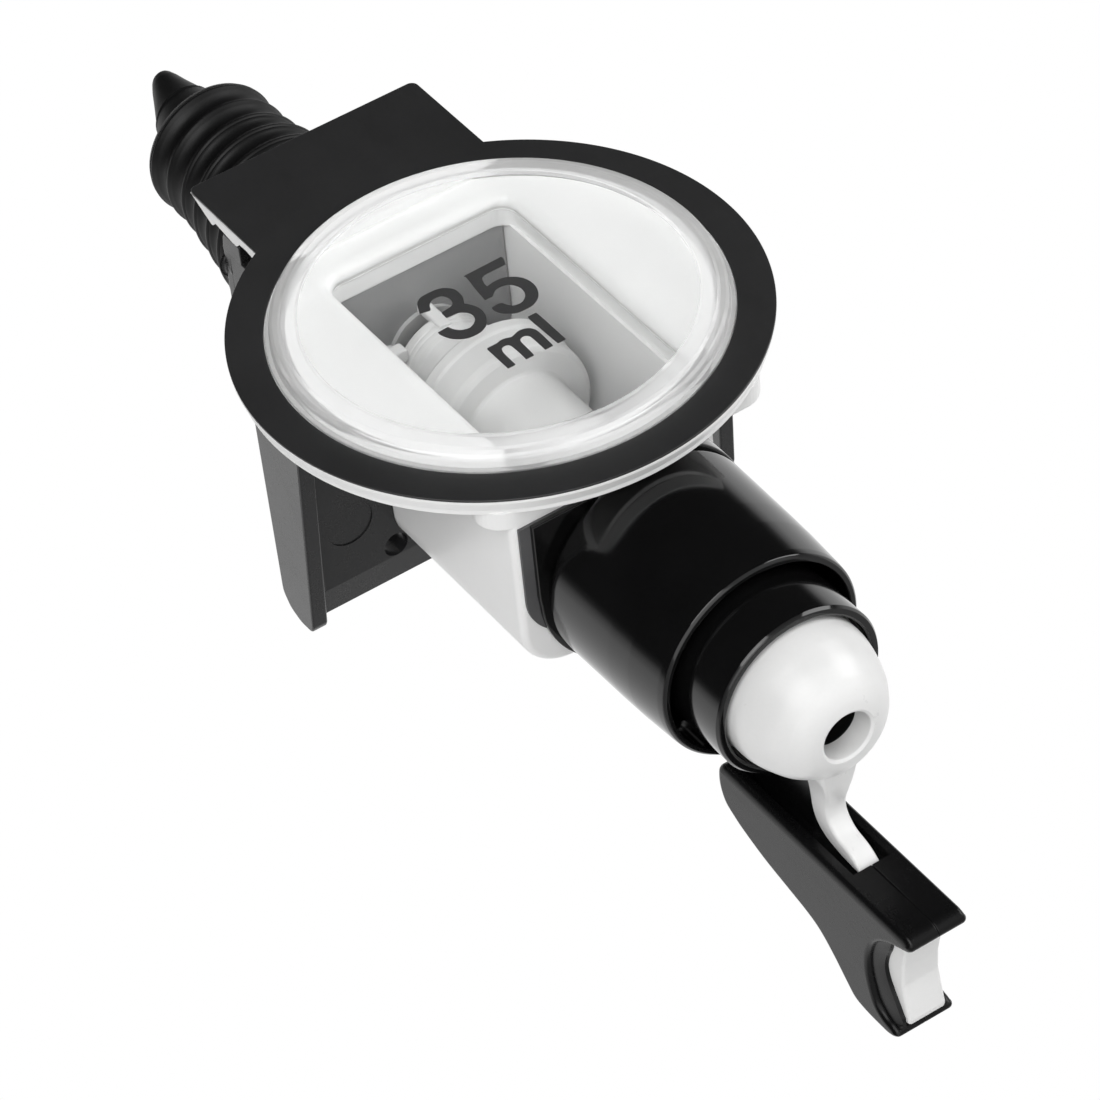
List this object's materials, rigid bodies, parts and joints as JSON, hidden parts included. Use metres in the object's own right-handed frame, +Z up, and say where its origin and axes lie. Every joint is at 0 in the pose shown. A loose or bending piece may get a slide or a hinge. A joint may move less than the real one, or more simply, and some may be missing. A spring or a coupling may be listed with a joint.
{
  "type": "liquor optic dispenser",
  "caption": "Bottle optic with a ribbed rubber stopper, a round dial with a clear lens, a white measuring chamber, a spring return valve and a push-up glass lever.",
  "frame": {"origin": "middle of the two screw holes of the mounting plate, on the plate's lower face", "axes": "+Z up towards the bottle, the dial faces -Y, +X to the right of a person who faces the dial"},
  "size_m": [0.085, 0.0755, 0.2158],
  "materials": {
    "badge_black": "fine matt",
    "white_body": "satin moulded",
    "white_nozzle": "smooth moulded",
    "white_inner": "natural moulded",
    "clear_lens": "clear polished plastic",
    "print_grey": "printed ink",
    "black_body": "satin moulded",
    "black_gloss": "polished moulded",
    "black_lever": "semi-gloss moulded",
    "stopper_rubber": "soft rubber",
    "seal_rubber": "soft rubber",
    "seal_clear": "clear silicone",
    "screw_steel": "zinc plated",
    "spring_steel": "drawn wire"
  },
  "bodies": {
    "optic_body": {"badge_plate": "badge_black", "front_bezel": "white_body", "window_gasket": "seal_clear", "lens_gasket": "seal_clear", "lens_cover": "clear_lens", "capacity_mark": "print_grey", "chamber_housing": "white_body", "bezel_screws": "screw_steel", "inlet_cap": "black_body", "cap_seal": "seal_rubber", "cap_screws": "screw_steel", "inlet_seat_washer": "seal_rubber", "bottle_stopper": "stopper_rubber", "stopper_core": "white_inner", "breather_tube": "white_inner", "valve_tube": "white_inner", "valve_barrel": "black_gloss", "barrel_gasket": "seal_rubber", "mounting_plate": "black_body", "return_spring": "spring_steel"},
    "actuator": {"slide_sleeve": "black_gloss", "outlet_nozzle": "white_nozzle", "nozzle_o_ring": "seal_rubber", "valve_stem": "white_inner", "lower_valve_seal": "seal_rubber", "upper_valve_seal": "seal_rubber", "spring_washer": "white_inner", "lever_shell_left": "black_lever", "lever_shell_right": "black_lever", "lever_dowels": "screw_steel", "lever_pad": "white_nozzle", "lever_web": "black_lever"}
  },
  "joints": [
    {"name": "lever_push", "type": "slide", "parent": "optic_body", "child": "actuator", "axis": [0, 0, 1], "range_m": [0, 0.009], "stiffness_N_per_m": 400, "springref_m": -0.012, "deforming": ["return_spring"]}
  ]
}
